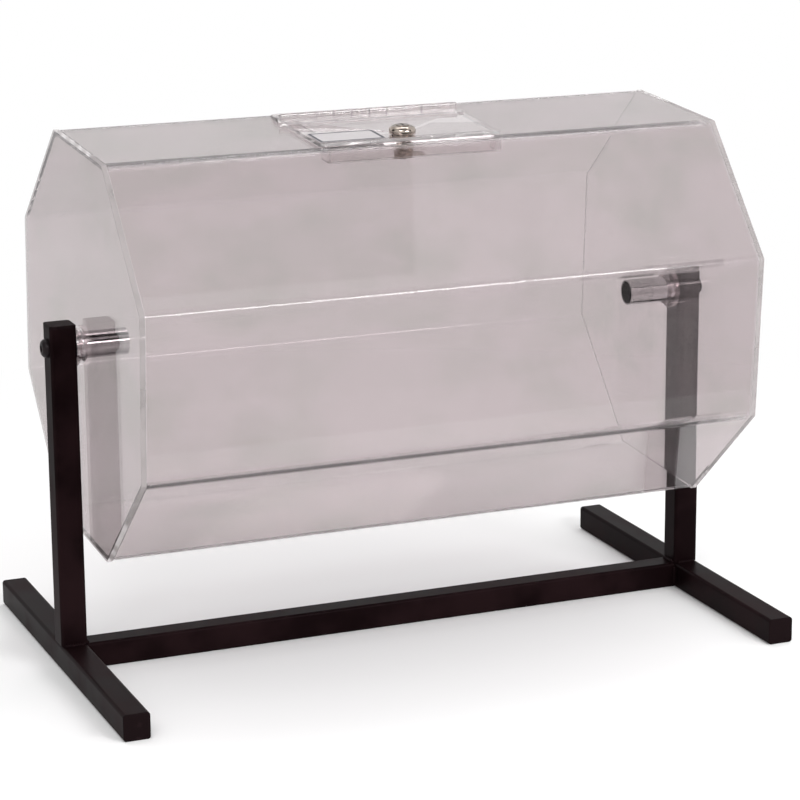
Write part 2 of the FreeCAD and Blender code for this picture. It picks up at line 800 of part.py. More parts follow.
def on_tip(edge):
    """Tell whether an upright edge is one of the cam tip's two corners."""
    return along(edge, Vector(0, 0, 1)) and abs(edge.CenterOfMass.x - tip_x) < 0.01


round_edges(cam, arm_pad, edges_where(arm_pad, on_tip), "Sizes.cam_tip_width / 4")
drive = new_sketch(cam, "XY_Plane", "Sizes.cam_top")
half_hole = "(Sizes.drive_square / 2 + Sizes.drive_clearance)"
rectangle(
    drive,
    f"Sizes.lock_x - {half_hole}",
    f"Sizes.lock_x + {half_hole}",
    f"Sizes.lock_y - {half_hole}",
    f"Sizes.lock_y + {half_hole}",
)
pocket(cam, drive, "Sizes.cam_thickness * 2", midplane=True)

# Screw that holds the cam on the plug's square
screw = drum_body("cam_screw")
screw_head = new_sketch(screw, "XY_Plane", "Sizes.cam_under")
circle(screw_head, "Sizes.cam_screw_head", "Sizes.lock_x", "Sizes.lock_y")
pad(screw, screw_head, "Sizes.cam_screw_head_height", reverse=True)
screw_shank = new_sketch(screw, "XY_Plane", "Sizes.cam_under")
circle(screw_shank, "Sizes.cam_screw_diameter", "Sizes.lock_x", "Sizes.lock_y")
pad(screw, screw_shank, "Sizes.cam_screw_length - Sizes.thread_clearance")

doc.recompute()

# Every object must have computed, and every sub-part must be one sound solid
for item in doc.Objects:
    if "Invalid" in item.State or "Error" in item.State:
        raise RuntimeError(f"{item.Name} did not compute: {item.State}")
for body in bodies:
    shape = body.Shape
    if shape.isNull() or not shape.isValid() or len(shape.Solids) != 1:
        raise RuntimeError(f"{body.Label} is not one valid solid")

os.makedirs("parts", exist_ok=True)
for body in bodies:
    body.Shape.exportStep(os.path.join("parts", f"{body.Label}.step"))
print(f"{len(bodies)} sub-parts written")
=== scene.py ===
import logging
import math
from dataclasses import dataclass
from enum import Enum
from typing import Callable, Optional, Sequence, Union

import bmesh
import bpy
import numpy as np
from mathutils import Matrix, Vector


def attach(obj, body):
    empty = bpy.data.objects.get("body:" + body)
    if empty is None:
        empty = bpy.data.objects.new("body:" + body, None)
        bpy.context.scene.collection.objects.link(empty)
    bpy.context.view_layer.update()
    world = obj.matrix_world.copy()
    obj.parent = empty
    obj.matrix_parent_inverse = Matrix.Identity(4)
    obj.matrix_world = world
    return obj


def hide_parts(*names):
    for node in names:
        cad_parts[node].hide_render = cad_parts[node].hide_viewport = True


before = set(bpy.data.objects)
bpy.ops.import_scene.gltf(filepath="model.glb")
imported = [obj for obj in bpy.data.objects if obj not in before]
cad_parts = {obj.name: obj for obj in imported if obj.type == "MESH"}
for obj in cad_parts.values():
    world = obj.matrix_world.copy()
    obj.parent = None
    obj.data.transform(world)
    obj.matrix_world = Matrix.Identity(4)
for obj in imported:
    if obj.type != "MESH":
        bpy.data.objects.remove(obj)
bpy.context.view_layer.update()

LOG = logging.getLogger("raffle_drum")
MM = 0.001
TURN = 2.0 * math.pi
SIDE = TURN / 8  # what one side of an octagon turns by
SIDES = (("left", -1.0), ("right", 1.0))
BEND = "bend"  # the shell's attribute that marks its heated bends
EVEN = (1.0, 1.0, 1.0)  # the scale of a pattern that isn't stretched
FINE = (0.0007, 2.0, EVEN)  # the pattern of metal that has no drawing lines
WARM = (1.0, 0.76, 0.80)  # the tint of the black finishes' shine
OBLIQUE = (0.3, 0.5, 0.8)  # a direction that is parallel to none of the axes

# The sockets of a colour Mix node: its two inputs and its result
MIX_FIRST, MIX_SECOND, MIX_RESULT = 6, 7, 2
# Nearer points are merged and shorter edges dropped, in metres
MERGE, SHORTEST = 1e-7, 1e-8
# Edges that bend by more than this are chamfered
CHAMFER_ANGLE = math.radians(60.0)

Value = Union["Wire", int, float]
Point = tuple[float, float, float]
Colour = tuple[float, float, float]
Range = tuple[float, float]
Pattern = tuple[float, float, Point]
FaceTest = Callable[[np.ndarray, np.ndarray], np.ndarray]


class Body(Enum):
    """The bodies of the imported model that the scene's own pieces ride on."""

    STAND = "stand"
    DRUM = "drum"
    DOOR = "door"


class Slot(Enum):
    """The names of the record's material slots."""

    ACRYLIC = "clear_acrylic"
    STAND = "stand_black"
    NICKEL = "nickel"


# --- Shader expressions ---


def operator(operation: str, swapped: bool = False) -> Callable[["Wire", Value], "Wire"]:
    """Return a method that adds a Math node over self and another value, or swapped."""

    def method(self: "Wire", other: Value) -> "Wire":
        """Return the operation's result."""
        pair = (other, self) if swapped else (self, other)
        inputs = dict(enumerate(pair))
        return self.shader.node("ShaderNodeMath", {"operation": operation}, inputs)

    return method


class Wire:
    """A value in a shader: a node's output whose arithmetic adds Math nodes."""

    __add__, __radd__ = operator("ADD"), operator("ADD", swapped=True)
    __sub__, __rsub__ = operator("SUBTRACT"), operator("SUBTRACT", swapped=True)
    __mul__, __rmul__ = operator("MULTIPLY"), operator("MULTIPLY", swapped=True)
    lowest, highest = operator("MINIMUM"), operator("MAXIMUM")

    def __init__(self, shader: "Shader", socket: bpy.types.NodeSocket) -> None:
        """Wrap an output socket of a shader's node."""
        self.shader = shader
        self.socket = socket

    def __abs__(self) -> "Wire":
        """Return the size of self without its sign."""
        return self.shader.node("ShaderNodeMath", {"operation": "ABSOLUTE"}, {0: self})

    def ramp(self, low: float, high: float) -> "Wire":
        """Return t * t * (3 - 2t), where t is self's clamped share from low to high."""
        settings = {"interpolation_type": "SMOOTHSTEP"}
        inputs = {"Value": self, "From Min": low, "From Max": high}
        return self.shader.node("ShaderNodeMapRange", settings, inputs)


class Shader:
    """A node tree and the one way in which nodes are added to it."""

    def __init__(self, name: str, world: bool = False) -> None:
        """Start an empty material, or a world, with only its output node."""
        self.owner = (bpy.data.worlds if world else bpy.data.materials).new(name)
        self.owner.use_nodes = True
        self.tree = self.owner.node_tree
        self.tree.nodes.clear()
        kind = "ShaderNodeOutputWorld" if world else "ShaderNodeOutputMaterial"
        self.output = self.tree.nodes.new(kind)

    def node(
        self,
        kind: str,
        settings: Optional[dict[str, object]] = None,
        inputs: Optional[dict[Union[str, int], object]] = None,
        output: Union[str, int] = 0,
    ) -> Wire:
        """Add a node, set it up and return one of its outputs.

        Args:
            kind: The node's type.
            settings: Its properties, which are set first.
            inputs: Values, colours or wires for its sockets, by name or number.
            output: The output that is returned, by name or number.

        Returns:
            The output as a wire.
        """
        node = self.tree.nodes.new(kind)
        for key, value in (settings or {}).items():
            setattr(node, key, value)
        for key, value in (inputs or {}).items():
            socket = node.inputs[key]
            if isinstance(value, Wire):
                self.tree.links.new(value.socket, socket)
            elif isinstance(value, tuple) and socket.type == "RGBA":
                socket.default_value = (*value, 1.0)
            else:
                socket.default_value = value
        return Wire(self, node.outputs[output])

    def place(self, scale: Sequence[float] = EVEN) -> Wire:
        """Return the object coordinates in metres, stretched by a scale."""
        where = self.node("ShaderNodeTexCoord", output="Object")
        return self.node("ShaderNodeMapping", inputs={"Vector": where, "Scale": tuple(scale)})

    def noise(
        self, size: float, detail: float = 2.0, scale: Sequence[float] = EVEN
    ) -> Wire:
        """Return noise from about 0.3 to 0.7, with blobs of a size in metres."""
        inputs = {"Vector": self.place(scale), "Scale": 1.0 / size, "Detail": detail}
        return self.node("ShaderNodeTexNoise", inputs=inputs)

    def blend(self, factor: Wire, first: Union[Wire, Colour], second: Union[Wire, Colour]) -> Wire:
        """Return a colour that goes from first to second by a factor."""
        inputs = {"Factor": factor, MIX_FIRST: first, MIX_SECOND: second}
        return self.node("ShaderNodeMix", {"data_type": "RGBA"}, inputs, output=MIX_RESULT)

    def bump(self, height: Wire, strength: float, distance: float) -> Wire:
        """Return a normal bent by a height, of which 1 is a distance in metres."""
        inputs = {"Strength": strength, "Distance": distance, "Height": height}
        return self.node("ShaderNodeBump", inputs=inputs)

    def seen(self) -> Wire:
        """Return 1 for rays that show the background: camera, glossy or through glass."""
        kinds = ("Is Camera Ray", "Is Glossy Ray", "Is Transmission Ray")
        camera, glossy, through = (
            self.node("ShaderNodeLightPath", output=kind) for kind in kinds
        )
        return camera.highest(glossy).highest(through)

    def mix(self, factor: Wire, first: Wire, second: Wire) -> Wire:
        """Return a shader that goes from first to second by a factor."""
        return self.node("ShaderNodeMixShader", inputs={0: factor, 1: first, 2: second})

    def finish(self, surface: Wire) -> Union[bpy.types.Material, bpy.types.World]:
        """Join a shader to the output and return the material or the world."""
        self.tree.links.new(surface.socket, self.output.inputs["Surface"])
        return self.owner


def principled(shader: Shader, **inputs: object) -> Wire:
    """Add the main surface shader.

    Args:
        shader: The material that it goes in.
        inputs: Socket names, with underscores for spaces, and their values.

    Returns:
        The shader's output.
    """
    named = {key.replace("_", " "): value for key, value in inputs.items()}
    return shader.node("ShaderNodeBsdfPrincipled", inputs=named)


# --- Finishes ---


def scaled(colour: Colour, share: float) -> Colour:
    """Return a colour made lighter or darker by a share."""
    return tuple(share * channel for channel in colour)


@dataclass(frozen=True)
class ClearSheet:
    """Cast acrylic sheet: faintly tinted, polished, with handling marks."""

    name: str
    tint: Colour
    smudge: Colour
    roughness: float = 0.015
    smudge_roughness: float = 0.05
    cloud_share: float = 0.5
    refraction: float = 1.33
    bend_haze: float = 0.06
    bend_clear: float = 0.30
    straight: float = 0.035
    wave_strength: float = 0.35
    waviness: float = 0.00012
    shadow: Colour = (0.86, 0.83, 0.84)

    def build(self) -> bpy.types.Material:
        """Return glass whose tint and gloss vary in soft, cloudy patches.

        A small share of the light goes straight through, and more at the bends, so
        that light caught inside the sheet gets out and leaves no black lines. Light
        on its way to a lamp all goes straight through, a little tinted.
        """
        shader = Shader(self.name)
        cloud = shader.noise(0.11, detail=3.0, scale=(1.0, 1.0, 1.6)).ramp(0.42, 0.68)
        streak = shader.noise(0.018, scale=(0.35, 1.0, 1.0)).ramp(0.56, 0.76)
        wave = shader.noise(0.16, detail=0.0)
        mark = {"attribute_type": "GEOMETRY", "attribute_name": BEND}
        bend = shader.node("ShaderNodeAttribute", mark, output="Fac")
        smudged = self.smudge_roughness - self.roughness
        rough = self.roughness + (cloud * self.cloud_share + streak) * smudged
        glass = principled(
            shader,
            Base_Color=shader.blend(cloud, self.tint, self.smudge),
            Roughness=rough + bend * self.bend_haze,
            IOR=self.refraction,
            Transmission_Weight=1.0,
            Normal=shader.bump(wave, self.wave_strength, self.waviness),
        )
        lamps = shader.node("ShaderNodeLightPath", output="Is Shadow Ray")
        clear = shader.node("ShaderNodeBsdfTransparent", inputs={"Color": self.shadow})
        share = lamps.highest(self.straight + bend * self.bend_clear)
        return shader.finish(shader.mix(share, glass, clear))


@dataclass(frozen=True)
class Coat:
    """A finish with patches in its colour and gloss, and a fine grain in its skin.

    A pattern is its blobs' width in metres, its detail and its stretch. The
    patches run from the low to the high end of their range of noise.
    """

    name: str
    colour: Colour
    patch_colour: Colour
    roughness: float
    patch: Pattern
    patch_range: Range
    grain: Pattern
    patch_roughness: float = 0.0
    grain_roughness: float = 0.0
    strength: float = 0.5
    depth: float = 0.00003
    level: float = 0.5
    sheen: Colour = (1.0, 1.0, 1.0)
    metallic: float = 0.0
    body: float = 1.0

    def build(self) -> bpy.types.Material:
        """Return the finish: roughness = base + patch * share + grain * share."""
        shader = Shader(self.name)
        patch = shader.noise(*self.patch).ramp(*self.patch_range)
        grain = shader.noise(*self.grain)
        rough = self.roughness + patch * self.patch_roughness + grain * self.grain_roughness
        face = principled(
            shader,
            Base_Color=shader.blend(patch, self.colour, self.patch_colour),
            Roughness=rough,
            Metallic=self.metallic,
            Alpha=self.body,
            Specular_IOR_Level=self.level,
            Specular_Tint=self.sheen,
            Normal=shader.bump(grain, self.strength, self.depth),
        )
        return shader.finish(face)


@dataclass(frozen=True)
class CutEdge(Coat):
    """The sawn and scraped edge of a clear sheet: pale grey, half gloss, part clear."""

    colour: Colour = (0.80, 0.73, 0.73)
    patch_colour: Colour = (0.65, 0.595, 0.59)
    roughness: float = 0.30
    patch: Pattern = (0.035, 2.0, EVEN)
    patch_range: Range = (0.40, 0.66)
    grain: Pattern = (0.0012, 2.0, EVEN)
    grain_roughness: float = 0.16
    strength: float = 0.4
    body: float = 0.34


@dataclass(frozen=True)
class CoatedSteel(Coat):
    """Semi-gloss black coating on steel tube, with a fine orange-peel skin."""

    colour: Colour = (0.0056, 0.0026, 0.0030)
    patch_colour: Colour = (0.0130, 0.0062, 0.0070)
    roughness: float = 0.34
    patch: Pattern = (0.06, 3.0, EVEN)
    patch_range: Range = (0.35, 0.65)
    grain: Pattern = (0.0016, 1.0, EVEN)
    patch_roughness: float = 0.10
    level: float = 0.022
    sheen: Colour = WARM


@dataclass(frozen=True)
class MouldedPlastic(Coat):
    """Matte black moulded plastic: fine spark-eroded grain and faint scuffs."""

    colour: Colour = (0.009, 0.0052, 0.0058)
    patch_colour: Colour = (0.0144, 0.00832, 0.00928)
    roughness: float = 0.42
    patch: Pattern = (0.012, 4.0, (1.0, 0.3, 1.0))
    patch_range: Range = (0.58, 0.72)
    grain: Pattern = (0.0007, 2.0, EVEN)
    patch_roughness: float = -0.12
    depth: float = 0.00004
    level: float = 0.018
    sheen: Colour = WARM


@dataclass(frozen=True)
class PlatedMetal(Coat):
    """Plated or oxidised metal: drawing lines along X, or none, and faint stains."""

    patch: Pattern = (0.009, 3.0, EVEN)
    patch_range: Range = (0.50, 0.72)
    grain: Pattern = (0.0007, 2.0, (0.06, 1.0, 1.0))
    patch_roughness: float = 0.08
    strength: float = 0.25
    depth: float = 0.00001
    metallic: float = 1.0


@dataclass(frozen=True)
class BlankLabel:
    """A plain pale sticker with a thin dark rule just inside its edge."""

    name: str
    middle: Point
    half: tuple[float, float]
    paper: Colour = (0.50, 0.47, 0.48)
    rule: Colour = (0.02, 0.02, 0.035)
    rule_starts: tuple[float, float] = (0.0005, 0.0008)
    rule_ends: tuple[float, float] = (0.0032, 0.0035)
    fibre: float = 0.9
    roughness: float = 0.32
    spread: float = 0.15

    def build(self) -> bpy.types.Material:
        """Return the paper: the rule is where a point nears the label's edge."""
        shader = Shader(self.name)
        where = shader.node("ShaderNodeTexCoord", output="Object")
        inputs = {"Vector": where, "Location": scaled(self.middle, -1.0)}
        local = {"Vector": shader.node("ShaderNodeMapping", inputs=inputs)}
        gap_x, gap_y = (
            half - abs(shader.node("ShaderNodeSeparateXYZ", inputs=local, output=axis))
            for axis, half in enumerate(self.half)
        )
        edge = gap_x.lowest(gap_y)
        line = edge.ramp(*self.rule_starts) - edge.ramp(*self.rule_ends)
        fibre = shader.noise(0.0009)
        paper = shader.blend(fibre, self.paper, scaled(self.paper, self.fibre))
        film = principled(
            shader,
            Base_Color=shader.blend(line, paper, self.rule),
            Roughness=self.roughness + fibre * self.spread,
            Specular_IOR_Level=0.4,
        )
        return shader.finish(film)


class Finishes:
    """Every finish that more than one piece shares, each built once."""

    def __init__(self) -> None:
        """Build the finishes."""
        self.sheet = ClearSheet(
            "acrylic_sheet", (0.752, 0.702, 0.710), (0.700, 0.670, 0.664)
        ).build()
        self.lid = ClearSheet(
            "acrylic_lid", (0.88, 0.85, 0.855), (0.85, 0.825, 0.825), waviness=0.00004
        ).build()
        self.hinge = ClearSheet(
            "moulded_hinge", (0.86, 0.84, 0.84), (0.81, 0.79, 0.79), 0.05, smudge_roughness=0.12
        ).build()
        self.edge = CutEdge("acrylic_edge").build()
        self.welded_edge = CutEdge("welded_edge", body=0.08).build()
        self.lid_edge = CutEdge("lid_edge", (0.74, 0.71, 0.71), (0.62, 0.60, 0.60), 0.14).build()
        self.stand = CoatedSteel("black_coating").build()
        self.cap = MouldedPlastic("black_cap").build()
        self.chrome = PlatedMetal(
            "polished_chrome", (0.52, 0.50, 0.51), (0.43, 0.41, 0.42), 0.05, grain_roughness=0.06
        ).build()
        self.bolt = PlatedMetal(
            "black_oxide", (0.010, 0.007, 0.008), (0.018, 0.012, 0.012), 0.30, grain=FINE,
            grain_roughness=0.12, metallic=0.0, level=0.12,
        ).build()
        self.steel = PlatedMetal(
            "zinc_plate", (0.52, 0.52, 0.53), (0.42, 0.41, 0.40), 0.20, grain_roughness=0.16
        ).build()
        self.nickel = PlatedMetal(
            "bright_nickel", (0.40, 0.345, 0.305), (0.30, 0.255, 0.22), 0.03, grain=FINE,
            grain_roughness=0.03,
        ).build()


# --- Surfaces ---


def add_object(name: str, data: bpy.types.ID) -> bpy.types.Object:
    """Make an object of some data and put it in the scene."""
    made = bpy.data.objects.new(name, data)
    bpy.context.scene.collection.objects.link(made)
    return made


@dataclass(frozen=True)
class DrumPlace:
    """Where the drum's own frame lies: raised to the axle and tilted about +X."""

    axis_height: float = 308.0
    rest_tilt: float = 3.58

    def world(self, points: np.ndarray) -> np.ndarray:
        """Turn points about the drum's axis, in millimetres, into the world's metres."""
        tilt = math.radians(self.rest_tilt)
        cos, sin = math.cos(tilt), math.sin(tilt)
        turn = np.array([[1, 0, 0], [0, cos, -sin], [0, sin, cos]])
        return (points @ turn.T + np.array([0, 0, self.axis_height])) * MM


def level(points: np.ndarray) -> np.ndarray:
    """Turn millimetres of the stand's frame into metres."""
    return points * MM


class Surface:
    """A mesh in the making: grids of points joined into quads."""

    def __init__(self, place: Callable[[np.ndarray], np.ndarray]) -> None:
        """Start empty, with the frame that its points are given in."""
        self.place = place
        self.points: list[np.ndarray] = []
        self.quads: list[np.ndarray] = []
        self.fans: list[list[int]] = []
        self.count = 0

    def grid(
        self,
        points: np.ndarray,
        wrap_u: bool = False,
        wrap_v: bool = False,
        keep: Optional[np.ndarray] = None,
    ) -> np.ndarray:
        """Add a grid of points and the quads between its neighbours.

        Args:
            points: An array of rows by columns by 3.
            wrap_u: Whether the last row joins the first.
            wrap_v: Whether the last column joins the first.
            keep: For each cell, whether it gets its quad.

        Returns:
            The grid's vertex numbers, as rows by columns.
        """
        rows, columns = points.shape[:2]
        index = np.arange(rows * columns).reshape(rows, columns) + self.count
        i = np.arange(rows if wrap_u else rows - 1)
        j = np.arange(columns if wrap_v else columns - 1)
        i, j = np.meshgrid(i, j, indexing="ij")
        after_i, after_j = (i + 1) % rows, (j + 1) % columns
        cells = np.stack(
            [index[i, j], index[after_i, j], index[after_i, after_j], index[i, after_j]], axis=-1
        )
        cells = cells[keep] if keep is not None else cells.reshape(-1, 4)
        self.points.append(points.reshape(-1, 3))
        self.quads.append(cells.reshape(-1, 4))
        self.count += rows * columns
        return index

    def join(self, first: np.ndarray, second: np.ndarray, wrap: bool = True) -> None:
        """Add quads between two equally long rows of vertex numbers."""
        last = len(first) if wrap else len(first) - 1
        i = np.arange(last)
        j = (i + 1) % len(first)
        self.quads.append(np.stack([first[i], first[j], second[j], second[i]], axis=-1))

    def cap(self, ring: np.ndarray, parts: Optional[Sequence[Sequence[int]]] = None) -> None:
        """Close a ring of vertex numbers with one flat face, or one for each part."""
        for part in parts or [range(len(ring))]:
            self.fans.append([int(ring[corner]) for corner in part])

    def prism(
        self, outline: np.ndarray, heights: Sequence[float],
        parts: Optional[Sequence[Sequence[int]]] = None,
    ) -> None:
        """Raise an x, y outline between two heights and close both ends.

        Args:
            outline: The outline's points.
            heights: The two heights.
            parts: The convex parts of an outline that isn't convex.
        """
        for ring in self.grid(at_level(outline, heights), wrap_v=True):
            self.cap(ring, parts)

    def build(
        self, name: str, body: Body, slot: Slot, material: bpy.types.Material,
        replaces: Sequence[str] = (), chamfer: float = 0.0, crease: float = 32.0,
        edge: Optional[bpy.types.Material] = None,
        is_edge: Optional[FaceTest] = None,
    ) -> bpy.types.Object:
        """Make the object, with its faces outwards and its sharp edges kept.

        Args:
            name: The piece's name.
            body: The body that it rides on.
            slot: The record's slot for the piece; it is not used.
            material: Its finish.
            replaces: The nodes that it stands for.
            chamfer: The width cut off its sharp edges, in millimetres.
            crease: The angle in degrees over which an edge stays sharp.
            edge: The finish of its cut edges, where they have their own.
            is_edge: Tells from the faces' middles and normals which are cut edges.

        Returns:
            The new object, in the scene and riding on its body.
        """
        points = self.place(np.concatenate(self.points))
        faces = np.concatenate(self.quads).tolist() + self.fans
        mesh = bpy.data.meshes.new(name)
        mesh.from_pydata(points.tolist(), [], faces)
        work = bmesh.new()
        work.from_mesh(mesh)
        bmesh.ops.remove_doubles(work, verts=work.verts, dist=MERGE)
        bmesh.ops.dissolve_degenerate(work, edges=work.edges, dist=SHORTEST)
        bmesh.ops.recalc_face_normals(work, faces=work.faces)
        if chamfer:
            sharp = [line for line in work.edges if line.calc_face_angle(0.0) > CHAMFER_ANGLE]
            bmesh.ops.bevel(
                work, geom=sharp, offset=chamfer * MM, segments=1, affect="EDGES",
                profile=0.5, clamp_overlap=True,
            )
        work.to_mesh(mesh)
        work.free()
        mesh.polygons.foreach_set("use_smooth", np.ones(len(mesh.polygons), dtype=bool))
        mesh.set_sharp_from_angle(angle=math.radians(crease))
        mesh.materials.append(material)
        if edge and is_edge:
            mesh.materials.append(edge)
            middles, normals = (np.empty(3 * len(mesh.polygons)) for _ in range(2))
            mesh.polygons.foreach_get("center", middles)
            mesh.polygons.foreach_get("normal", normals)
            cut = is_edge(middles.reshape(-1, 3), normals.reshape(-1, 3))
            mesh.polygons.foreach_set("material_index", cut.astype(np.int32))
        piece = add_object(name, mesh)
        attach(piece, body.value)
        if replaces:
            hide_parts(*replaces)
        LOG.info("%s: %d faces on %s", name, len(mesh.polygons), body.value)
        return piece


def octagon_chain(
    across: float, radius: float, front: float, back: float, steps: int = 12, lead: float = 0.6
) -> np.ndarray:
    """Return the outline of an octagon with rounded corners as an open chain.

    The chain starts on the top flat at y = back, runs over the back, bottom and
    front, and ends on the top flat at y = front. Each corner is an arc about a
    centre that lies (across / 2 - radius) from the two flats. A point a short
    lead before and after each arc keeps the flats' shading flat.

    Args:
        across: The distance between opposite flats.
        radius: The radius of the corners.
        front: Where the chain ends on the top flat.
        back: Where the chain starts on the top flat.
        steps: How many chords an arc has.
        lead: The distance from an arc to its two extra points.

    Returns:
        The chain's points as y, z.
    """
    start = TURN / 4 - SIDE * np.arange(8)
    middle = start - SIDE / 2
    reach = (across / 2 - radius) / math.cos(SIDE / 2)
    centres = reach * np.stack([np.cos(middle), np.sin(middle)], axis=-1)
    angles = start[:, None] - SIDE * np.linspace(0.0, 1.0, steps + 1)[None, :]
    arcs = centres[:, None, :] + radius * np.stack([np.cos(angles), np.sin(angles)], axis=-1)
    heading = np.stack([np.sin(angles), -np.cos(angles)], axis=-1)
    before = arcs[:, :1] - lead * heading[:, :1]
    after = arcs[:, -1:] + lead * heading[:, -1:]
    corners = np.concatenate([before, arcs, after], axis=1).reshape(-1, 2)
    top = across / 2
    return np.concatenate([[[back, top]], corners, [[front, top]]])


def spread_x(stations: Sequence[float], outline: np.ndarray) -> np.ndarray:
    """Carry a y, z outline along X: the grid of x by outline points."""
    x = np.asarray(stations, dtype=float)
    grid = np.empty((len(x), len(outline), 3))
    grid[..., 0] = x[:, None]
    grid[..., 1:] = outline[None]
    return grid


def turned(
    profile: np.ndarray, steps: int, axis: str = "x", centre: Sequence[float] = (0.0, 0.0, 0.0)
) -> np.ndarray:
    """Turn a profile of (radius, distance along the axis) about an axis.

    Args:
        profile: The points of the profile.
        steps: How many columns go round.
        axis: "x" or "z".
        centre: A point that the axis goes through.

    Returns:
        The grid of profile points by turn, to be wrapped round its columns.
    """
    angle = TURN * np.arange(steps) / steps
    radius, along = profile[:, 0, None], profile[:, 1, None]
    round_a, round_b = radius * np.cos(angle), radius * np.sin(angle)
    straight = along + 0.0 * angle
    order = [straight, round_a, round_b] if axis == "x" else [round_a, round_b, straight]
    return np.stack(order, axis=-1) + np.asarray(centre, dtype=float)


# --- The drum ---


@dataclass
class Drum:
    """The clear drum: a bent octagonal shell, two end plates and their rings."""

    finishes: Finishes
    place: DrumPlace
    length: float = 593.0
    across: float = 369.0
    wall: float = 5.0
    bend: float = 14.0
    bend_margin: float = 0.3
    plate: float = 5.0
    plate_corner: float = 2.0
    bore: float = 25.1
    bore_reach: float = 50.2
    ring: float = 37.0
    ring_thickness: float = 5.0
    ring_steps: int = 72
    inner_ring: float = 31.0
    inner_ring_thickness: float = 1.5
    opening: tuple[float, float] = (-83.5, 78.5)
    opening_front: float = -62.0
    opening_back: float = 31.9
    joint: float = 0.04
    chamfer: float = 0.35

    def build(self) -> None:
        """Make every piece of the drum."""
        self.build_shell()
        for side, sign in SIDES:
            self.build_plate(side, sign)
            self.build_rings(side, sign)

    def build_shell(self) -> None:
        """Make the shell: outer and inner skins, its two ends and the doorway."""
        surface = Surface(self.place.world)
        ends = self.length / 2 - self.joint
        stations = [-ends, *self.opening, ends]
        edge = (self.opening_front, self.opening_back)
        outer = octagon_chain(self.across, self.bend, *edge)
        inner = octagon_chain(self.across - 2 * self.wall, self.bend - self.wall, *edge)
        keep = np.ones((3, len(outer)), dtype=bool)
        keep[1, -1] = False
        skins = [
            surface.grid(spread_x(stations, chain), wrap_v=True, keep=keep)
            for chain in (outer, inner)
        ]
        for row in (0, 3):
            surface.join(skins[0][row], skins[1][row])
        for row in (1, 2):
            surface.join(skins[0][row, [0, -1]], skins[1][row, [0, -1]], wrap=False)
        for column in (0, -1):
            surface.join(skins[0][1:3, column], skins[1][1:3, column], wrap=False)
        shell = surface.build(
            "shell_sheet", Body.DRUM, Slot.ACRYLIC, self.finishes.sheet, ["drum_shell"],
            self.chamfer, edge=self.finishes.welded_edge, is_edge=self.is_shell_end,
        )
        self.mark_bends(shell.data)

    def is_shell_end(self, middles: np.ndarray, normals: np.ndarray) -> np.ndarray:
        """Tell the shell's two ends from its skins and its doorway, by face."""
        facing_end = np.abs(normals[:, 0]) > 0.3
        near_end = np.abs(middles[:, 0]) > 0.9 * (self.length / 2 - self.joint) * MM
        return facing_end & near_end

    def is_plate_edge(self, middles: np.ndarray, normals: np.ndarray) -> np.ndarray:
        """Tell a plate's cut edge from its flats and its bore, by face."""
        facing_out = np.abs(normals[:, 0]) < 0.9
        y, z = middles[:, 1], middles[:, 2] - self.place.axis_height * MM
        return facing_out & (np.abs(y) + np.abs(z) > self.bore_reach * MM)

    def mark_bends(self, mesh: bpy.types.Mesh) -> None:
        """Mark the heated bends, where the sheet has lost some of its polish.

        A vertex is in a bend if its distance along its flat, from the flat's
        middle, is past the place where the bend's arc starts.

        Args:
            mesh: The shell's mesh, which gets the mark as an attribute.
        """
        points = np.empty(3 * len(mesh.vertices))
        mesh.vertices.foreach_get("co", points)
        y, z = points.reshape(-1, 3)[:, 1:].T / MM
        z = z - self.place.axis_height
        bearing = np.arctan2(z, y) - math.radians(self.place.rest_tilt)
        from_flat = (bearing + SIDE / 2) % SIDE - SIDE / 2
        along = np.abs(np.hypot(y, z) * np.sin(from_flat))
        arc_start = (self.across / 2 - self.bend) * math.tan(SIDE / 2)
        bent = along > arc_start - self.bend_margin
        mark = mesh.attributes.new(BEND, "FLOAT", "POINT")
        mark.data.foreach_set("value", bent.astype(np.float32))

    def build_plate(self, side: str, sign: float) -> None:
        """Make an end plate: an octagonal disc with the axle's bore."""
        surface = Surface(self.place.world)
        rim = octagon_chain(self.across, self.plate_corner, -1.0, 1.0, steps=5, lead=0.5)
        hole = pierced_ring(rim, (0.0, 0.0), self.bore / 2)
        faces = sign * np.array([self.length / 2, self.length / 2 + self.plate])
        outer, inner = (
            surface.grid(spread_x(faces, outline), wrap_v=True) for outline in (rim, hole)
        )
        for row in (0, 1):
            surface.join(outer[row], inner[row])
        surface.build(
            f"end_sheet_{side}", Body.DRUM, Slot.ACRYLIC, self.finishes.sheet,
            [f"end_plate_{side}"], self.chamfer, edge=self.finishes.edge,
            is_edge=self.is_plate_edge,
        )

    def build_rings(self, side: str, sign: float) -> None:
        """Make the two rings that thicken an end plate's bearing."""
        inside = self.length / 2
        outside = inside + self.plate
        for name, low, high, across in (
            ("outer", outside + self.joint, outside + self.ring_thickness, self.ring),
            ("inner", inside - self.inner_ring_thickness, inside - self.joint, self.inner_ring),
        ):
            r_in, r_out = self.bore / 2, across / 2
            profile = np.array([[r_in, low], [r_out, low], [r_out, high], [r_in, high]])
            profile[:, 1] *= sign
            surface = Surface(self.place.world)
            surface.grid(turned(profile, self.ring_steps), wrap_u=True, wrap_v=True)
            surface.build(
                f"bearing_{name}_{side}", Body.DRUM, Slot.ACRYLIC, self.finishes.sheet,
                [f"ring_{name}_{side}"], self.chamfer,
            )


# --- The door ---


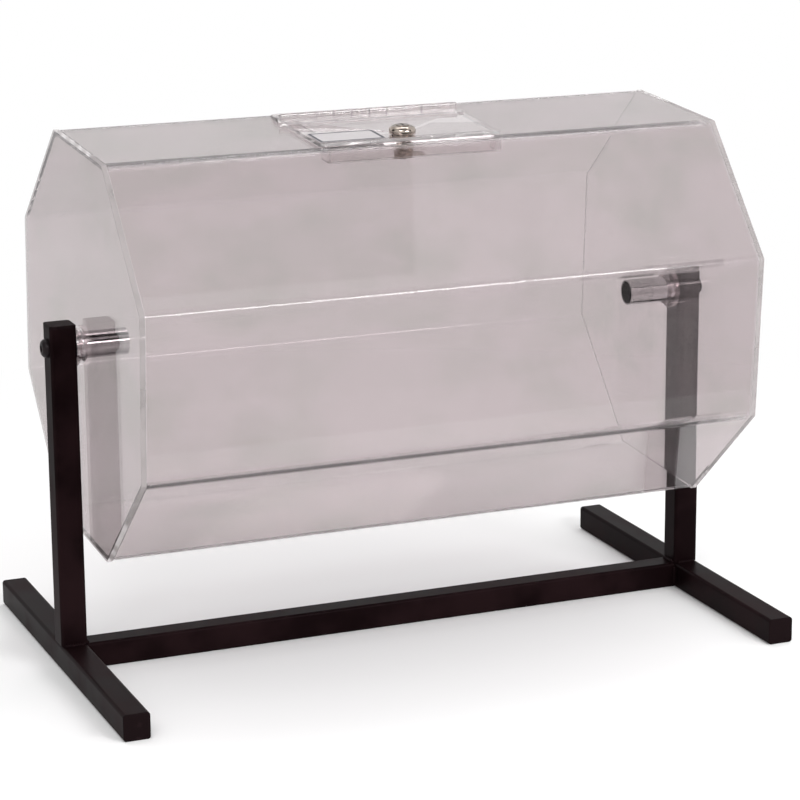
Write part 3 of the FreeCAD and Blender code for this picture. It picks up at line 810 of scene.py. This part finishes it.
def rounded_box_outline(
    low: Sequence[float], high: Sequence[float], radii: Sequence[float], steps: int = 6
) -> np.ndarray:
    """Return a rectangle's outline with a quarter circle at each corner.

    Args:
        low: The rectangle's least x and y.
        high: Its greatest x and y.
        radii: The corners' radii: high-high, low-high, low-low and high-low.
        steps: How many chords a corner has.

    Returns:
        The outline's points, anticlockwise.
    """
    sign = np.array([[1, 1], [-1, 1], [-1, -1], [1, -1]])
    radius = np.maximum(np.asarray(radii, dtype=float), 1e-3)[:, None]
    corner = np.where(sign > 0, np.asarray(high, dtype=float), np.asarray(low, dtype=float))
    centre = corner - sign * radius
    angle = np.radians(90.0 * np.arange(4)[:, None] + np.linspace(0.0, 90.0, steps + 1)[None, :])
    turn = np.stack([np.cos(angle), np.sin(angle)], axis=-1)
    return (centre[:, None, :] + radius[..., None] * turn).reshape(-1, 2)


def pierced_ring(outline: np.ndarray, centre: Sequence[float], radius: float) -> np.ndarray:
    """Return a circle's points, one for each outline point, at the same bearing."""
    away = outline - np.asarray(centre)
    return np.asarray(centre) + radius * away / np.linalg.norm(away, axis=-1, keepdims=True)


def at_level(outline: np.ndarray, heights: Sequence[float]) -> np.ndarray:
    """Raise an x, y outline to each height: the grid of heights by points."""
    grid = np.empty((len(heights), len(outline), 3))
    grid[..., :2] = outline[None]
    grid[..., 2] = np.asarray(heights, dtype=float)[:, None]
    return grid


@dataclass
class Lid:
    """The door: a sheet that laps the panel, its core, the keeper and the rail."""

    finishes: Finishes
    place: DrumPlace
    sheet_low: tuple[float, float] = (-95.5, -69.5)
    sheet_high: tuple[float, float] = (82.5, 31.9)
    sheet_span: tuple[float, float] = (184.8, 187.76)
    sheet_corner: float = 2.0
    core_low: tuple[float, float] = (-82.0, -60.5)
    core_high: tuple[float, float] = (77.0, 30.4)
    core_under: float = 179.84
    core_corner: float = 1.0
    lock_centre: tuple[float, float] = (-7.0, -48.5)
    lock_hole: float = 19.3
    keeper_x: tuple[float, float] = (-87.5, 82.5)
    keeper_front: float = -70.5
    keeper_back: float = -62.0
    keeper_return: float = 20.0
    keeper_wall: float = 4.0
    keeper_span: tuple[float, float] = (168.0, 179.46)
    rail_y: tuple[float, float] = (40.1, 60.1)
    rail_span: tuple[float, float] = (184.54, 187.76)
    rail_corner: float = 0.5
    end_reach: float = 3.0
    front_reach: float = 6.0
    chamfer: float = 0.3

    def build(self) -> None:
        """Make the lid, the keeper and the hinge's rail."""
        self.build_lid()
        self.build_keeper()
        self.build_rail()

    def build_lid(self) -> None:
        """Make the lid as one body: the sheet, stepped in to its core below."""
        corners = (0.0, 0.0, self.sheet_corner, self.sheet_corner)
        sheet = rounded_box_outline(self.sheet_low, self.sheet_high, corners)
        core = rounded_box_outline(self.core_low, self.core_high, [self.core_corner] * 4)
        hole = pierced_ring(core, self.lock_centre, self.lock_hole / 2)
        under, top = self.sheet_span
        surface = Surface(self.place.world)
        rim = surface.grid(at_level(sheet, (top, under)), wrap_v=True)
        step = surface.grid(at_level(core, (under, self.core_under)), wrap_v=True)
        bore = surface.grid(at_level(hole, (self.core_under, top)), wrap_v=True)
        surface.join(rim[1], step[0])
        surface.join(step[1], bore[0])
        surface.join(bore[1], rim[0])
        surface.build(
            "lid_sheet", Body.DOOR, Slot.ACRYLIC, self.finishes.lid,
            ["door_sheet", "door_core"], self.chamfer, edge=self.finishes.lid_edge,
            is_edge=self.is_rim,
        )

    def is_rim(self, middles: np.ndarray, normals: np.ndarray) -> np.ndarray:
        """Tell the sheet's two ends and its front edge, by face.

        The drum's tilt carries the front edge forward of its own y, past the reach.
        """
        steep = np.abs(normals[:, 2]) < 0.6
        left = middles[:, 0] < (self.sheet_low[0] + self.end_reach) * MM
        right = middles[:, 0] > (self.sheet_high[0] - self.end_reach) * MM
        front = middles[:, 1] < (self.sheet_low[1] - self.front_reach) * MM
        return steep & (left | right | front)

    def build_keeper(self) -> None:
        """Make the keeper: a bar with a short return at each end."""
        (left, right), wall = self.keeper_x, self.keeper_wall
        front, back, end = (
            self.keeper_front, self.keeper_back, self.keeper_front + self.keeper_return
        )
        outline = np.array([
            [left, front], [right, front], [right, end], [right - wall, end],
            [right - wall, back], [left + wall, back], [left + wall, end], [left, end],
        ])
        surface = Surface(self.place.world)
        surface.prism(
            outline, self.keeper_span, parts=((0, 1, 4, 5), (1, 2, 3, 4), (5, 6, 7, 0))
        )
        surface.build(
            "keeper_bar", Body.DRUM, Slot.ACRYLIC, self.finishes.lid, ["door_keeper"],
            self.chamfer,
        )

    def build_rail(self) -> None:
        """Make the rail that lifts the hinge's fixed leaf."""
        (left, right), (front, back) = (self.sheet_low[0], self.sheet_high[0]), self.rail_y
        corners = [self.rail_corner] * 4
        outline = rounded_box_outline((left, front), (right, back), corners, steps=2)
        surface = Surface(self.place.world)
        surface.prism(outline, self.rail_span)
        surface.build(
            "rail_strip", Body.DRUM, Slot.ACRYLIC, self.finishes.lid, ["hinge_rail"],
            self.chamfer,
        )


# --- The lock ---


@dataclass
class CamLock:
    """The cam lock: a domed head, a threaded barrel with two flats and its nut."""

    finishes: Finishes
    place: DrumPlace
    centre: tuple[float, float] = (-7.0, -48.5)
    seat: float = 187.8
    under: float = 168.0
    head_radius: float = 12.5
    head_height: float = 7.0
    head_chamfer: float = 0.5
    dome: float = 4.6
    crown: float = 5.0
    dish: float = 0.35
    dish_rim: float = 0.7
    dish_slope: float = 0.5
    barrel: float = 9.5
    relief: float = 0.1
    flat: float = 8.0
    bore: float = 6.05
    pitch: float = 1.5
    thread_depth: float = 0.55
    crown_steps: int = 14
    barrel_steps: int = 80
    body_steps: int = 96
    nut_across: float = 22.0
    nut_span: tuple[float, float] = (176.8, 179.8)
    nut_gap: float = 0.05
    nut_chamfer: float = 0.5
    cone_start: float = 0.2
    cone_slope: float = 2.2
    nut_steps: int = 72

    def build(self) -> None:
        """Make the head with its barrel, and the nut."""
        self.add("lock_barrel", self.body_grid(), "lock_body", crease=40.0)
        self.add("barrel_nut", self.nut_grid(), "lock_nut", crease=25.0)

    def add(self, name: str, grid: np.ndarray, node: str, crease: float) -> None:
        """Make a nickel piece, for a node, of a closed grid about the lock's axis."""
        grid[..., :2] += np.array(self.centre)
        surface = Surface(self.place.world)
        surface.grid(grid, wrap_u=True, wrap_v=True)
        surface.build(name, Body.DOOR, Slot.NICKEL, self.finishes.nickel, [node], crease=crease)

    def profile(self) -> np.ndarray:
        """Return the body's profile as (radius, z), from the bore round to the bore.

        The crown is a quarter ellipse, wider than it is high, and the face has a
        shallow dish round the plug.
        """
        top = self.seat + self.head_height
        turn = np.radians(np.linspace(0.0, 90.0, self.crown_steps))
        crown = np.stack(
            [self.head_radius - self.crown + self.crown * np.cos(turn),
             top - self.dome + self.dome * np.sin(turn)], axis=-1,
        )
        heights = np.linspace(self.under, self.seat - self.relief, self.barrel_steps)
        barrel = np.stack([np.full_like(heights, self.barrel), heights], axis=-1)
        cut, rim = self.head_chamfer, self.bore + self.dish_rim
        head = np.array([[self.head_radius - cut, self.seat], [self.head_radius, self.seat + cut]])
        face = np.array([
            [rim + self.dish_slope, top], [rim, top - self.dish],
            [self.bore, top - self.dish], [self.bore, self.under],
        ])
        return np.concatenate([barrel, head, crown, face])

    def body_grid(self) -> np.ndarray:
        """Return the body: the barrel's radius follows a helix and stops at its flats.

        The thread's depth at a height z and a turn a is a triangle wave of
        z / pitch - a, and x is cut off at the flats.
        """
        profile = self.profile()
        grid = turned(profile, self.body_steps, "z")
        part_turn = np.arange(self.body_steps) / self.body_steps
        radius, z = profile[:, 0, None], profile[:, 1, None]
        on_barrel = radius == self.barrel
        threaded = on_barrel & (z < self.seat - 2 * self.relief)
        phase = (z / self.pitch - part_turn) % 1.0
        cut = self.thread_depth * (1.0 - np.abs(2.0 * phase - 1.0))
        grid[..., :2] *= np.where(threaded, 1.0 - cut / self.barrel, 1.0)[..., None]
        clipped = np.clip(grid[..., 0], -self.flat, self.flat)
        grid[..., 0] = np.where(on_barrel, clipped, grid[..., 0])
        return grid

    def nut_grid(self) -> np.ndarray:
        """Return the nut: a hexagon whose corners a cone takes off at both faces."""
        angle = TURN * np.arange(self.nut_steps) / self.nut_steps
        low, high = self.nut_span
        thick, cut = high - low, self.nut_chamfer
        lift = np.array([0.0, 0.0, cut, thick - cut, thick, thick])
        at_bore = np.array([True, False, False, False, False, True])[:, None]
        apothem = self.nut_across / 2
        hexagon = apothem / np.cos((angle % (TURN / 6)) - TURN / 12)
        from_face = np.minimum(lift, thick - lift)
        cone = apothem + self.cone_start + self.cone_slope * from_face
        outer = np.minimum(hexagon[None, :], cone[:, None])
        radius = np.where(at_bore, self.barrel + self.nut_gap, outer)
        z = np.broadcast_to(low + lift[:, None], radius.shape)
        return np.stack([radius * np.cos(angle), radius * np.sin(angle), z], axis=-1)


# --- The stand's welds ---


@dataclass
class Welds:
    """Small rippled weld beads where the stand's tubes meet."""

    finishes: Finishes
    tube: float = 25.0
    post_offset: float = 320.0
    inset: float = 2.5
    bead: float = 2.6
    tip: float = 0.02
    ripple: float = 0.12
    pitch: float = 2.4
    steps: int = 61
    round_steps: int = 14

    def build(self) -> None:
        """Lay the beads at the posts' feet and at the crossbar's ends."""
        half = self.tube / 2
        reach = half - self.inset
        for side, sign in SIDES:
            x, inner = sign * self.post_offset, sign * (self.post_offset - half)
            for name, y in (("front", -half), ("back", half)):
                start = np.array([x - reach, y, self.tube])
                self.lay(f"weld_post_{side}_{name}", start, np.array([2 * reach, 0, 0]))
                start = np.array([inner, y, self.inset])
                self.lay(f"weld_bar_{side}_{name}", start, np.array([0, 0, 2 * reach]))
            start = np.array([inner, -reach, self.tube])
            self.lay(f"weld_inner_{side}", start, np.array([0, 2 * reach, 0]))

    def lay(self, name: str, start: np.ndarray, run: np.ndarray) -> None:
        """Lay one bead along a line.

        The bead is a tube about the line. Its radius swells once each pitch, and
        falls at both ends as sqrt(1 - s ** 8), where s goes from 0 at the bead's
        middle to 1 at its ends.

        Args:
            name: The piece's name.
            start: Where the bead starts.
            run: The vector to its end.
        """
        length = float(np.linalg.norm(run))
        along = run / length
        side = np.cross(along, OBLIQUE)
        side /= np.linalg.norm(side)
        up = np.cross(along, side)
        t = np.linspace(0.0, 1.0, self.steps)
        angle = TURN * np.arange(self.round_steps) / self.round_steps
        swell = 1.0 + self.ripple * np.abs(np.sin(math.pi * t * length / self.pitch))
        ends = np.sqrt(np.clip(1.0 - np.abs(2.0 * t - 1.0) ** 8, 0.0, 1.0)) + self.tip
        radius = (self.bead * swell * ends)[:, None, None]
        circle = np.cos(angle)[:, None] * side + np.sin(angle)[:, None] * up
        surface = Surface(level)
        rings = surface.grid(start + t[:, None, None] * run + radius * circle[None], wrap_v=True)
        surface.cap(rings[0])
        surface.cap(rings[-1])
        surface.build(name, Body.STAND, Slot.STAND, self.finishes.stand, crease=60.0)


# --- The label ---


@dataclass
class Label:
    """A blank sticker on the lid's front left."""

    place: DrumPlace
    middle: tuple[float, float] = (-61.0, -46.5)
    half: tuple[float, float] = (32.0, 18.5)
    corner: float = 1.5
    seat: float = 187.8
    thickness: float = 0.12

    def build(self) -> None:
        """Make the sticker: a thin slab with a rounded rectangle for its outline."""
        middle, half = np.array(self.middle), np.array(self.half)
        outline = rounded_box_outline(middle - half, middle + half, [self.corner] * 4)
        surface = Surface(self.place.world)
        surface.prism(outline, (self.seat, self.seat + self.thickness))
        centre = self.place.world(np.array([[*self.middle, self.seat]]))[0]
        finish = BlankLabel(
            "blank_label", tuple(map(float, centre)), tuple(MM * h for h in self.half)
        )
        surface.build("lid_label", Body.DOOR, Slot.ACRYLIC, finish.build())


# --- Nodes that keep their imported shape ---


def dress_nodes(finishes: Finishes) -> None:
    """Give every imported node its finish, by how its name starts."""
    by_start = {
        ("foot_cap", "post_cap"): finishes.cap,
        ("foot_", "post_", "crossbar"): finishes.stand,
        ("axle_tube",): finishes.chrome,
        ("axle_bolt",): finishes.bolt,
        ("axle_insert", "cam_"): finishes.steel,
        ("door_", "hinge_rail"): finishes.lid,
        ("hinge_",): finishes.hinge,
        ("lock_",): finishes.nickel,
        ("drum_", "end_", "ring_"): finishes.sheet,
    }
    for name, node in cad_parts.items():
        finish = next(value for starts, value in by_start.items() if name.startswith(starts))
        for holder in node.material_slots:
            holder.material = finish
        LOG.info("%s: %s", name, finish.name)


# --- Studio ---


@dataclass(frozen=True)
class Lamp:
    """A soft rectangular lamp: where it hangs, its size and its radiance."""

    name: str
    where: Point
    size: tuple[float, float]
    radiance: float


@dataclass(frozen=True)
class Card:
    """A card that only reflections show, and clear sheets too where it is behind."""

    name: str
    where: Point
    aim: Point
    size: tuple[float, float]
    finish: str = "black_card"
    behind: bool = False


LAMPS = (
    Lamp("key", (-1.6, -2.4, 2.6), (1.4, 1.0), 6.0),
    Lamp("fill", (2.6, -1.6, 1.6), (1.2, 1.2), 2.0),
    Lamp("top", (0.2, 0.6, 3.0), (2.4, 0.9), 3.0),
    Lamp("line_front", (0.62, -1.78, 1.12), (0.90, 0.22), 34.0),
    Lamp("line_top", (0.60, 0.80, 2.05), (0.60, 0.22), 7.0),
)
CARD_TONES = {"black_card": 0.03, "grey_card": 0.55}
CARDS = (
    Card("card_front", (0.80, -1.75, 1.85), (0.0, 0.0, 0.4), (2.4, 0.62), behind=True),
    Card("card_left", (-2.0, 0.6, 1.3), (0.0, 0.0, 0.5), (1.0, 1.3)),
    Card("card_right", (1.9, -1.3, 1.3), (0.0, 0.0, 0.5), (0.7, 1.3)),
    Card("card_floor", (0.4, -1.75, 0.002), (0.4, -1.75, 1.0), (3.4, 2.0)),
    Card("card_top", (0.0, -0.25, 1.60), (0.0, 0.0, 0.45), (0.9, 0.7), behind=True),
    Card("card_back", (0.81, 1.89, 1.28), (0.0, 0.0, 0.45), (1.8, 0.6), "grey_card"),
    Card("card_end", (-1.3, 2.3, 0.002), (-1.3, 2.3, 1.0), (3.4, 4.0), "grey_card"),
)


def aimed(where: Sequence[float], aim: Sequence[float]) -> Matrix:
    """Return the place of something at one point that faces another."""
    turn = (Vector(aim) - Vector(where)).to_track_quat("-Z", "Y")
    return Matrix.Translation(Vector(where)) @ turn.to_matrix().to_4x4()


def add_stage(
    name: str, corners: Sequence[Sequence[float]], material: bpy.types.Material
) -> bpy.types.Object:
    """Make one flat face of the stage from its corners in order."""
    mesh = bpy.data.meshes.new(name)
    mesh.from_pydata(corners, [], [tuple(range(len(corners)))])
    mesh.materials.append(material)
    face = add_object(name, mesh)
    return face


@dataclass
class Studio:
    """The floor, the light and the camera, in metres but for the camera's place."""

    white: Colour = (1.0, 1.0, 1.0)
    floor_colour: Colour = (0.94, 0.94, 0.94)
    floor_patch: float = 0.99
    ambient: float = 0.74
    floor_radius: float = 9.0
    floor_steps: int = 96
    clear_radius: tuple[float, float] = (0.42, 1.15)
    lamp_aim: Point = (0.0, 0.0, 0.35)
    card_spread: tuple[float, float] = (0.7, 1.3)
    yaw: float = 22.257
    pitch: float = 14.489
    roll: float = -0.395
    distance: float = 2718.6
    target: tuple[float, float] = (13.60, 223.3)
    focal_pixels: float = 2830.7
    frame_pixels: float = 800.0
    sensor: float = 36.0
    bounces: int = 128

    def build(self) -> None:
        """Set up the whole studio."""
        self.build_world()
        self.build_floor()
        self.build_lamps()
        self.build_cards()
        self.build_camera()
        bpy.context.scene.view_settings.view_transform = "Standard"
        cycles = bpy.context.scene.cycles
        cycles.max_bounces = self.bounces
        cycles.transmission_bounces = self.bounces
        cycles.glossy_bounces = 8
        cycles.transparent_max_bounces = 24
        cycles.caustics_reflective = False
        cycles.caustics_refractive = False
        cycles.use_denoising = True

    def build_world(self) -> None:
        """Make the world: white where it is seen, softer where it lights."""
        shader = Shader("studio", world=True)
        light, shown = (
            shader.node("ShaderNodeBackground", inputs={"Color": self.white, "Strength": strength})
            for strength in (self.ambient, 1.0)
        )
        bpy.context.scene.world = shader.finish(shader.mix(shader.seen(), light, shown))

    def build_floor(self) -> None:
        """Make the floor: pale under the object, and plain white further out."""
        shader = Shader("pale_floor")
        where = shader.node("ShaderNodeTexCoord", output="Object")
        far = shader.node("ShaderNodeVectorMath", {"operation": "LENGTH"}, {0: where}, "Value")
        darker = scaled(self.floor_colour, self.floor_patch)
        colour = shader.blend(shader.noise(0.5), self.floor_colour, darker)
        matt = shader.node("ShaderNodeBsdfDiffuse", inputs={"Color": colour})
        glow = shader.node("ShaderNodeEmission", inputs={"Color": self.white, "Strength": 1.0})
        spread = far.ramp(*self.clear_radius)
        material = shader.finish(shader.mix(spread * shader.seen(), matt, glow))
        ring = TURN * np.arange(self.floor_steps) / self.floor_steps
        points = self.floor_radius * np.stack([np.cos(ring), np.sin(ring), 0 * ring], axis=-1)
        add_stage("floor", points.tolist(), material)

    def build_lamps(self) -> None:
        """Hang soft lamps, and two slim ones whose image draws the bends' lines."""
        for lamp in LAMPS:
            data = bpy.data.lights.new(lamp.name, "AREA")
            data.shape = "RECTANGLE"
            data.size, data.size_y = lamp.size
            data.energy = lamp.radiance * math.pi * lamp.size[0] * lamp.size[1]
            add_object(lamp.name, data).matrix_world = aimed(lamp.where, self.lamp_aim)

    def build_cards(self) -> None:
        """Stand the black and grey cards that polished metal and clear sheet reflect."""
        finishes = {}
        for name, tone in CARD_TONES.items():
            shader = Shader(name)
            dark, pale = (3 * (share * tone,) for share in self.card_spread)
            shade = shader.blend(shader.noise(0.5, detail=1.0), dark, pale)
            matt = shader.node("ShaderNodeBsdfDiffuse", inputs={"Color": shade})
            finishes[name] = shader.finish(matt)
        for card in CARDS:
            x, y = card.size[0] / 2, card.size[1] / 2
            turn = aimed(card.where, card.aim)
            corners = [turn @ Vector((a, b, 0)) for a, b in ((-x, -y), (x, -y), (x, y), (-x, y))]
            face = add_stage(card.name, list(map(tuple, corners)), finishes[card.finish])
            for ray in ("camera", "diffuse", "shadow", "volume_scatter"):
                setattr(face, f"visible_{ray}", False)
            face.visible_transmission = card.behind

    def build_camera(self) -> None:
        """Set the camera where the photograph was taken from.

        The view direction has the yaw and pitch, and the roll turns the frame
        about it. The lens gives the photograph's focal length in pixels.
        """
        yaw, pitch, roll = map(math.radians, (self.yaw, self.pitch, self.roll))
        view = Vector(
            (math.sin(yaw) * math.cos(pitch), math.cos(yaw) * math.cos(pitch), -math.sin(pitch))
        )
        right = view.cross(Vector((0, 0, 1))).normalized()
        up = right.cross(view)
        right, up = (
            math.cos(roll) * right + math.sin(roll) * up,
            -math.sin(roll) * right + math.cos(roll) * up,
        )
        target = Vector((self.target[0], 0.0, self.target[1]))
        place = (target - view * self.distance) * MM
        data = bpy.data.cameras.new("camera")
        data.sensor_fit = "HORIZONTAL"
        data.sensor_width = self.sensor
        data.lens = self.focal_pixels * self.sensor / self.frame_pixels
        data.clip_start, data.clip_end = 0.05, 50.0
        camera = add_object("camera", data)
        turn = Matrix((right, up, -view)).transposed().to_4x4()
        camera.matrix_world = Matrix.Translation(place) @ turn
        bpy.context.scene.camera = camera


def main() -> None:
    """Set up the studio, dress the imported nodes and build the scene's own pieces."""
    logging.basicConfig(level=logging.INFO, format="%(message)s")
    Studio().build()
    finishes = Finishes()
    place = DrumPlace()
    dress_nodes(finishes)
    Drum(finishes, place).build()
    Lid(finishes, place).build()
    CamLock(finishes, place).build()
    Welds(finishes).build()
    Label(place).build()


if __name__ == "__main__":
    main()
